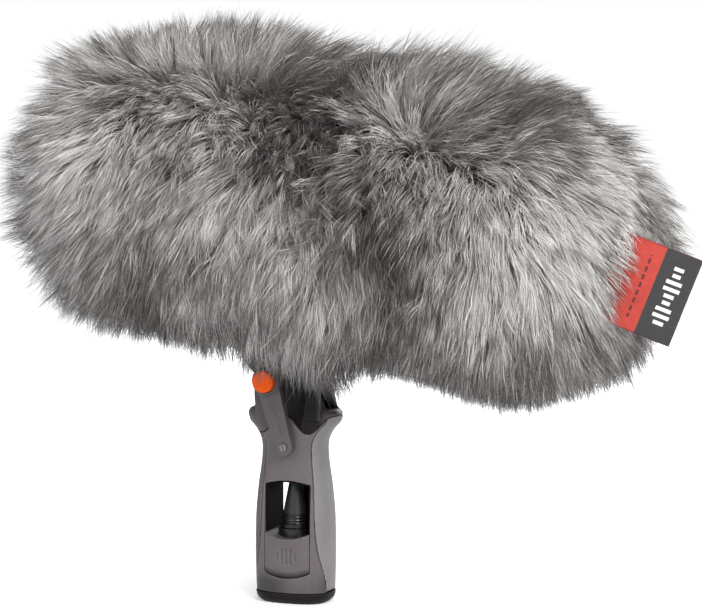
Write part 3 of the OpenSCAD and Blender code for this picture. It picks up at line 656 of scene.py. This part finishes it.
def grow_hairs(tufts):
    """The hairs themselves, drawn to their tufts and kept out of the slot."""
    roots, normals, u = sample_roots(HAIRS)
    keep = ~in_slot(roots)
    roots, normals, u = roots[keep], normals[keep], u[keep]
    count = len(roots)
    tuft = nearest(tufts.roots, roots)
    kind = rng.uniform(0, 1, count)
    loose = kind > 0.90                   # a tenth stray, and some of those are long
    length = pile_length(roots, normals, u) * rng.uniform(0.66, 1.04, count)
    length *= np.where(kind > 0.97, 1.14, 1.0)
    stray = rng.normal(0, 1, (count, 3)) * np.where(loose, 0.18, 0.08)[:, None]
    path = grow(roots, normals, length, tufts.splay[tuft] + stray,
                tufts.curl[tuft] + rng.normal(0, 0.10, count))
    pull = (tufts.pull[tuft] * np.where(loose, 0.25, 1.0))[:, None] * ALONG_HAIR[None, :] ** 1.5
    path = path + (tufts.path[tuft] - path) * pull[:, :, None]
    # the sides are trimmed: past this half-width the pile is squeezed in
    half_width, squeeze = 0.084, 0.0150
    y = path[:, :, 1]
    wide = np.abs(y)
    squeezed = half_width + squeeze * np.tanh((wide - half_width) / squeeze)
    path[:, :, 1] = np.sign(y) * np.where(wide > half_width, squeezed, wide)
    return SimpleNamespace(roots=roots, normals=normals, u=u, tuft=tuft, path=path)


# the label's own axes: x along it away from its root, y through it, z across it
LABEL_LENGTH, LABEL_WIDTH = 0.042, 0.046
LABEL_HALF_THICK = 0.0006
LABEL_CENTRE = np.array([0.1984, -0.038, AXIS_W - 0.0072])     # u, v, w
_cos_z, _sin_z = math.cos(math.radians(15)), math.sin(math.radians(15))
_cos_y, _sin_y = math.cos(math.radians(12)), math.sin(math.radians(12))
LABEL_TURN = (np.array([[_cos_z, -_sin_z, 0], [_sin_z, _cos_z, 0], [0, 0, 1]])
              @ np.array([[_cos_y, 0, _sin_y], [0, 1, 0], [-_sin_y, 0, _cos_y]]))


def lay_over_label(path):
    """Hairs that end near the label's root lie over its -y face."""
    count = len(path)
    behind = 0.016                        # reach on the +y side
    local = (np.stack(measure(path), -1) - LABEL_CENTRE) @ LABEL_TURN
    x, y, z = local[:, :, 0], local[:, :, 1], local[:, :, 2]
    over = (x > -0.023) & (np.abs(z) < 0.0265) & (y > -0.0022) & (y < behind)
    tip_reach = -LABEL_LENGTH / 2 + rng.uniform(0.007, 0.019, count)
    lying = over.any(1) & (x[:, -1] < tip_reach) & (y[:, -1] < behind)
    lift = -(0.0022 + rng.uniform(0.0, 0.0034, count))[:, None]
    lift = lift * np.linspace(0.6, 1.0, HAIR_POINTS)[None]
    moved = over & lying[:, None]
    local[:, :, 1] = np.where(moved, lift, y)
    laid = local @ LABEL_TURN.T + LABEL_CENTRE
    return np.where(moved[:, :, None], place(laid[..., 0], laid[..., 1], laid[..., 2]), path)


def hair_tones(hairs, tufts, locks):
    """0 is silver, 1 is dark."""
    roots, normals, count = hairs.roots, hairs.normals, len(hairs.roots)
    surface = roots + normals * (R_COMB - R_ROOT)
    patch = nearness(surface, PATCH_POINTS, PATCH[:, 2] * PATCH_SPREAD) @ PATCH[:, 3]
    # painted shade: hairs on the underside are darker
    low = np.clip(-(normals @ UP) - 0.35, 0, 1)
    high = np.clip((normals @ UP) - 0.70, 0, 1)
    tone = (0.41 + 1.45 * patch + 0.45 * low + 0.85 * high
            + 0.07 * broad_field(roots)[:, 0] + 0.09 * middle_field(roots)[:, 0]
            + 0.06 * fine_field(roots)[:, 0]
            + 0.06 * locks.tone[tufts.lock[hairs.tuft]] + 0.15 * tufts.tone[hairs.tuft]
            + rng.normal(0, 0.24, count))
    tone += low * rng.normal(0, 0.45, count)     # the underside is more mixed
    return np.clip(tone, 0.004, 0.996)


def strands(name, path, radius, tone):
    """One mesh of closed, three-sided, pointed hairs."""
    profile = (1.0, 0.96, 0.86, 0.62)     # share of the radius at each ring
    count, rings = len(path), len(profile)
    heading = np.empty_like(path)
    heading[:, 0] = path[:, 1] - path[:, 0]
    heading[:, 1:-1] = path[:, 2:] - path[:, :-2]
    heading[:, -1] = path[:, -1] - path[:, -2]
    heading = unit(heading)
    reference = unit(np.cross(heading[:, 0], np.array([0.31, 0.87, 0.38])))
    spin = np.arange(count) * 2.399
    a = unit(np.cross(heading, reference[:, None, :]))
    b = np.cross(heading, a)
    verts = []
    for j in range(rings):
        r = (radius * profile[j])[:, None]
        for s in range(3):
            angle = spin + s * 2 * math.pi / 3
            verts.append(path[:, j] + r * (a[:, j] * np.cos(angle)[:, None]
                                           + b[:, j] * np.sin(angle)[:, None]))
    verts.append(path[:, -1])
    verts = np.stack(verts, 1)
    per_hair = verts.shape[1]
    tip = per_hair - 1
    quads, tris = [], [[0, 2, 1]]
    for j in range(rings - 1):
        for s in range(3):
            after = (s + 1) % 3
            quads.append([3 * j + s, 3 * j + after, 3 * j + 3 + after, 3 * j + 3 + s])
    for s in range(3):
        tris.append([3 * (rings - 1) + s, 3 * (rings - 1) + (s + 1) % 3, tip])
    base = (np.arange(count) * per_hair)[:, None, None]
    loops = np.concatenate([(np.array(quads)[None] + base).reshape(count, -1),
                            (np.array(tris)[None] + base).reshape(count, -1)], 1).ravel()
    sizes = np.tile([4] * len(quads) + [3] * len(tris), count)
    starts = np.concatenate([[0], np.cumsum(sizes)[:-1]])
    mesh = bpy.data.meshes.new(name)
    mesh.vertices.add(count * per_hair)
    mesh.vertices.foreach_set("co", verts.astype(np.float32).ravel())
    mesh.loops.add(len(loops))
    mesh.loops.foreach_set("vertex_index", loops.astype(np.int32))
    mesh.polygons.add(len(sizes))
    mesh.polygons.foreach_set("loop_start", starts.astype(np.int32))
    mesh.polygons.foreach_set("use_smooth", np.ones(len(sizes), bool))
    # across the ring u is the hair's tone, along the hair v runs root to tip
    corner = np.concatenate([np.array(quads).ravel(), np.array(tris).ravel()])
    v = np.where(corner == tip, 1.0, (corner // 3) / rings)
    u_offset = np.where(corner == tip, 0.0, (corner % 3 - 1) * 0.0016)
    uv = np.empty((count, len(corner), 2), np.float32)
    uv[..., 0] = np.clip(tone[:, None] + u_offset[None], 0.0005, 0.9995)
    uv[..., 1] = v[None] * 0.998 + 0.001
    mesh.update(calc_edges=True)
    mesh.uv_layers.new(name="OFBake").data.foreach_set("uv", uv.ravel())
    mesh.validate()
    return link(bpy.data.objects.new(name, mesh))


def fur_material():
    """Root-to-tip colours of silver, middling and dark hair, blended by tone."""
    shader = Shader("fur_pile")
    tone, height = shader.uv("OFBake")
    pale = shader.ramp(height, [
        (0.0, (0.30, 0.288, 0.28)), (0.30, (0.74, 0.722, 0.71)), (0.80, (0.92, 0.905, 0.895)),
        (0.92, (0.55, 0.53, 0.518)), (1.0, (0.16, 0.152, 0.147))])
    middling = shader.ramp(height, [
        (0.0, (0.16, 0.149, 0.143)), (0.30, (0.40, 0.374, 0.357)), (0.70, (0.50, 0.470, 0.451)),
        (0.84, (0.15, 0.136, 0.128)), (0.94, (0.035, 0.031, 0.028)), (1.0, (0.022, 0.019, 0.017))])
    dark = shader.ramp(height, [
        (0.0, (0.09, 0.081, 0.075)), (0.4, (0.17, 0.152, 0.140)), (0.68, (0.11, 0.096, 0.088)),
        (0.85, (0.03, 0.027, 0.024)), (1.0, (0.018, 0.016, 0.014))])
    lower_half = shader.ramp(tone, [(0.0, 0.0), (0.5, 1.0)])
    upper_half = shader.ramp(tone, [(0.5, 0.0), (1.0, 1.0)])
    colour = shader.mix(lower_half, pale, middling)
    colour = shader.mix(upper_half, colour, dark)
    shader.surface({"Base Color": colour, "Roughness": 0.45, "Specular IOR Level": 0.35,
                    "Sheen Weight": 0.15, "Sheen Roughness": 0.4})


def fur_pile():
    """The pile in pieces, each one band along the windshield."""
    locks = grow_locks()
    tufts = grow_tufts(locks)
    hairs = grow_hairs(tufts)
    path = lay_over_label(hairs.path)
    tone = hair_tones(hairs, tufts, locks)
    fur_material()
    count = len(path)
    order = np.argsort(hairs.u, kind="stable")
    radius = rng.uniform(0.00013, 0.00024, count)
    hairs_per_piece = 8700
    pieces = math.ceil(count / hairs_per_piece)
    for i in range(pieces):
        band = order[i * count // pieces:(i + 1) * count // pieces]
        obj = strands("fur_pile_%02d" % (i + 1), path[band], radius[band], tone[band])
        give(obj, "fur_pile")
        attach(obj, "windshield")
        if i == 0:
            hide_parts("fur_cover")


fur_pile()


# ---------------------------------------------------------------- matted under-pile
def backing_material():
    shader = Shader("fur_backing")
    fibres = shader.noise(shader.coords((1, 1, 0.18)), scale=900.0, detail=4.0, rough=0.7)
    mottle = shader.noise(shader.coords(), scale=60.0, detail=4.0, rough=0.6)
    base = shader.ramp(fibres, [(0.35, (0.05, 0.047, 0.044)), (0.65, (0.19, 0.182, 0.175))])
    shade = shader.ramp(mottle, [(0.3, 0.6), (0.7, 1.2)])
    shader.surface({"Base Color": shader.multiply(base, shade, amount=0.8),
                    "Roughness": 0.9, "Sheen Weight": 0.3,
                    "Normal": shader.bump(fibres, strength=0.8, distance=0.0006)})


def backing():
    """A thick, slightly uneven capsule, open at the slot."""
    steps, sides, thickness = 150, 170, 0.0105
    stations = np.linspace(NOSE - R_SKIN, TAIL + R_SKIN, steps + 1)[1:-1]
    verts = []
    for u in stations:
        ring = capsule_ring(u, R_SKIN)[1]
        for j in range(sides):
            a = 2 * math.pi * j / sides
            verts.append(place(u, -ring * math.cos(a), AXIS_W + ring * math.sin(a)))
    verts.append(place(NOSE - R_SKIN, 0.0, AXIS_W))
    verts.append(place(TAIL + R_SKIN, 0.0, AXIS_W))
    verts = np.array(verts)
    faces = []
    last = len(stations) - 1
    nose_tip = len(stations) * sides
    cut = in_slot(verts, margin=-0.0015)
    for i in range(last):
        for j in range(sides):
            after = (j + 1) % sides
            quad = (i * sides + j, i * sides + after, (i + 1) * sides + after, (i + 1) * sides + j)
            if sum(cut[list(quad)]) < 2:
                faces.append(quad[::-1])
    for j in range(sides):
        after = (j + 1) % sides
        faces.append((j, after, nose_tip))
        faces.append((last * sides + after, last * sides + j, nose_tip + 1))
    normals = unit(verts - place(np.clip(measure(verts)[0], NOSE, TAIL), 0, AXIS_W))
    verts = verts + normals * (fine_field(verts) * 0.0006 + middle_field(verts) * 0.0007)
    obj = mesh_object("fur_backing", verts, faces)
    bm = bmesh.new()
    bm.from_mesh(obj.data)
    loose = [v for v in bm.verts if not v.link_faces]
    bmesh.ops.delete(bm, geom=loose, context="VERTS")
    bmesh.ops.recalc_face_normals(bm, faces=bm.faces)
    bm.to_mesh(obj.data)
    bm.free()
    thick = obj.modifiers.new("thick", "SOLIDIFY")
    thick.thickness = thickness
    thick.offset = -1
    apply_mods(obj)
    give(obj, "fur_backing")
    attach(obj, "windshield")


backing_material()
backing()


# ---------------------------------------------------------------- label tab
def label_material():
    """Red root half and charcoal outer half; x runs along the label, y across it."""
    shader = Shader("label_weave")
    calc = shader.math

    def both(a, b):
        return calc("MULTIPLY", a, b)

    def off(value, centre):
        return calc("ABSOLUTE", calc("SUBTRACT", value, centre))

    def between(value, low, high):
        return both(calc("GREATER_THAN", value, low), calc("LESS_THAN", value, high))

    x, y = shader.uv("weave")
    # threads: 74 along the label and 96 across it
    wave_x = calc("SINE", calc("MULTIPLY", x, math.pi * 2 * 74))
    wave_y = calc("SINE", calc("MULTIPLY", y, math.pi * 2 * 96))
    threads = calc("ADD", calc("MULTIPLY", wave_x, 0.25), calc("MULTIPLY", wave_y, 0.25))
    threads = calc("ADD", threads, 0.5)
    coords = shader.coords()
    mottle = shader.noise(coords, scale=260.0, detail=5.0, rough=0.65)
    mottle = shader.ramp(mottle, [(0.3, 0.78), (0.7, 1.15)])
    rib = shader.ramp(threads, [(0.1, 0.72), (0.9, 1.12)])
    # the halves meet at a slightly ragged edge
    ragged = calc("MULTIPLY", shader.noise(coords, scale=1500.0, detail=2.0), 0.012)
    outer = calc("GREATER_THAN", calc("ADD", x, ragged), 0.560)
    patch = shader.ramp(shader.noise(coords, scale=45.0, detail=3.0), [(0.3, 0.0), (0.7, 1.0)])
    red = shader.mix(patch, (0.36, 0.022, 0.013), (0.55, 0.050, 0.033))
    colour = shader.mix(outer, red, (0.027, 0.026, 0.028))
    # nine pale bars of rising and falling length on the charcoal half
    row = calc("MULTIPLY", calc("SUBTRACT", y, 0.16), 13.0)
    cell, within = calc("FLOOR", row), calc("FRACT", row)
    inside = between(row, 0.0, 9.0)
    swing = calc("ABSOLUTE", calc("SINE", calc("ADD", calc("MULTIPLY", cell, 0.78), 0.5)))
    reach = calc("ADD", calc("MULTIPLY", swing, 0.080), 0.025)
    bar = both(calc("LESS_THAN", off(x, 0.775), reach), calc("LESS_THAN", off(within, 0.5), 0.27))
    colour = shader.mix(both(bar, inside), colour, (0.80, 0.79, 0.78))
    # a dark dashed line on the red half
    dash = calc("GREATER_THAN", calc("FRACT", calc("MULTIPLY", y, 11.0)), 0.35)
    line = both(calc("LESS_THAN", off(x, 0.41), 0.016), dash)
    colour = shader.mix(both(line, between(y, 0.14, 0.86)), colour, (0.10, 0.012, 0.012))
    # darker side edges
    edge = calc("GREATER_THAN", off(y, 0.5), 0.485)
    colour = shader.mix(calc("MULTIPLY", edge, 0.5), colour, (0.06, 0.01, 0.01))
    colour = shader.multiply(colour, rib, amount=0.75)
    colour = shader.multiply(colour, mottle, amount=0.7)
    shader.surface({"Base Color": colour, "Roughness": 0.72, "Sheen Weight": 0.25,
                    "Normal": shader.bump(threads, strength=0.8, distance=0.00012)})


def label():
    """A thin, gently bent tab, rounded off at its outer end."""
    nx, nz = 48, 46
    round_from = 0.94                     # where the rounding starts, as a share of the length
    grid = {}
    verts, faces, uvs = [], [], []
    for side in (-1, 1):
        for i in range(nx + 1):
            for j in range(nz + 1):
                fx, fz = i / nx, j / nz
                thick = LABEL_HALF_THICK
                if fx >= round_from:
                    thick *= math.sqrt(max(0.04, 1 - ((fx - round_from) / 0.06) ** 2))
                thick *= 1.0 - 0.25 * (abs(2 * fz - 1) > 0.96)      # thinner side edges
                bend = (0.0011 * math.sin(2.4 * fz + 0.5) * fx
                        + 0.0006 * math.sin(5 * fx + 3 * fz) - 0.0008 * fx * fx)
                ripple = 0.00018 * math.sin(34 * fz) * (1 if fx > 0.9 else 0.2)
                grid[side, i, j] = len(verts)
                verts.append(((fx - 0.5) * LABEL_LENGTH, side * thick + bend + ripple,
                              (fz - 0.5) * LABEL_WIDTH))
                uvs.append((fx, fz))

    def face(*corners):
        faces.append([grid[corner] for corner in corners])

    for i in range(nx):
        for j in range(nz):
            face((-1, i, j), (-1, i + 1, j), (-1, i + 1, j + 1), (-1, i, j + 1))
            face((1, i, j), (1, i, j + 1), (1, i + 1, j + 1), (1, i + 1, j))
    for i in range(nx):
        face((-1, i, 0), (1, i, 0), (1, i + 1, 0), (-1, i + 1, 0))
        face((-1, i, nz), (-1, i + 1, nz), (1, i + 1, nz), (1, i, nz))
    for j in range(nz):
        face((-1, 0, j), (-1, 0, j + 1), (1, 0, j + 1), (1, 0, j))
        face((-1, nx, j), (1, nx, j), (1, nx, j + 1), (-1, nx, j + 1))
    turned = (LABEL_TURN @ np.array(verts).T).T + LABEL_CENTRE
    obj = mesh_object("label_woven", place(turned[:, 0], turned[:, 1], turned[:, 2]), faces)
    layer = obj.data.uv_layers.new(name="weave")
    for i, loop in enumerate(obj.data.loops):
        layer.data[i].uv = uvs[loop.vertex_index]
    give(obj, "label_weave")
    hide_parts("label_tab")
    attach(obj, "windshield")


label_material()
label()


# ---------------------------------------------------------------- stage, lights, camera
def floor():
    """A pale ground that glows more away from the object, into the white backdrop."""
    n, half = 40, 3.2
    verts = [((i / n - 0.5) * 2 * half, (j / n - 0.5) * 2 * half, 0.0)
             for i in range(n + 1) for j in range(n + 1)]
    faces = [(i * (n + 1) + j, (i + 1) * (n + 1) + j, (i + 1) * (n + 1) + j + 1,
              i * (n + 1) + j + 1) for i in range(n) for j in range(n)]
    obj = mesh_object("floor", verts, faces)
    shader = Shader("floor")
    coords = shader.coords()
    mottle = shader.noise(coords, scale=6.0, detail=3.0)
    distance = shader.add("ShaderNodeVectorMath")
    distance.operation = "LENGTH"
    shader.feed(distance.inputs[0], coords)
    glow = shader.ramp(distance.outputs["Value"], [(0.08, 0.30), (0.55, 0.85)])
    to_camera = shader.add("ShaderNodeLightPath").outputs["Is Camera Ray"]
    shader.surface({"Base Color": shader.ramp(mottle, [(0.3, 0.90), (0.7, 0.93)]),
                    "Roughness": 0.9, "Specular IOR Level": 0.1, "Emission Color": (1, 1, 1),
                    "Emission Strength": shader.mix(to_camera, (0.10, 0.10, 0.10), glow)})
    give(obj, "floor")


def aim(obj, location, target):
    obj.location = location
    obj.rotation_euler = (target - Vector(location)).to_track_quat("-Z", "Y").to_euler()


def area(name, location, size, power, color=(1, 1, 1)):
    light = bpy.data.lights.new(name, "AREA")
    light.shape = "RECTANGLE"
    light.size, light.size_y = size
    light.energy = power
    light.color = color
    aim(link(bpy.data.objects.new(name, light)), location, Vector((0.02, 0.0, 0.19)))


def studio_world():
    """Cool dim light on the object, plain white to the camera."""
    world = bpy.data.worlds.new("studio")
    scene.world = world
    world.use_nodes = True
    nodes, links = world.node_tree.nodes, world.node_tree.links
    nodes.clear()
    output = nodes.new("ShaderNodeOutputWorld")
    ambient = nodes.new("ShaderNodeBackground")
    backdrop = nodes.new("ShaderNodeBackground")
    light_path = nodes.new("ShaderNodeLightPath")
    mix = nodes.new("ShaderNodeMixShader")
    ambient.inputs["Color"].default_value = (0.93, 0.95, 1.0, 1)
    ambient.inputs["Strength"].default_value = 0.30
    backdrop.inputs["Color"].default_value = (1, 1, 1, 1)
    backdrop.inputs["Strength"].default_value = 1.0
    links.new(light_path.outputs["Is Camera Ray"], mix.inputs["Fac"])
    links.new(ambient.outputs[0], mix.inputs[1])
    links.new(backdrop.outputs[0], mix.inputs[2])
    links.new(mix.outputs[0], output.inputs["Surface"])


def camera():
    azimuth, elevation, distance = math.radians(20.0), math.radians(4.5), 1.30
    target = Vector((0.0318, 0.0, 0.1624))
    data = bpy.data.cameras.new("camera")
    data.sensor_width = 36.0
    data.lens = 124.7
    obj = link(bpy.data.objects.new("camera", data))
    direction = Vector((math.sin(azimuth) * math.cos(elevation),
                        -math.cos(azimuth) * math.cos(elevation), math.sin(elevation)))
    obj.location = target + distance * direction
    aim(obj, obj.location.copy(), target)
    scene.camera = obj


floor()
area("key", (0.95, -1.05, 1.05), size=(0.9, 0.7), power=25.0, color=(1.0, 0.99, 0.97))
area("fill", (-0.45, -1.35, 0.8), size=(0.8, 0.8), power=7.5, color=(0.97, 0.98, 1.0))
area("top", (0.15, 0.45, 1.3), size=(1.0, 0.6), power=8.0)
area("back", (0.2, 1.4, 0.6), size=(1.2, 0.8), power=7.0)
studio_world()
camera()
scene.view_settings.view_transform = "Standard"
scene.view_settings.look = "None"
scene.view_settings.exposure = 0.0
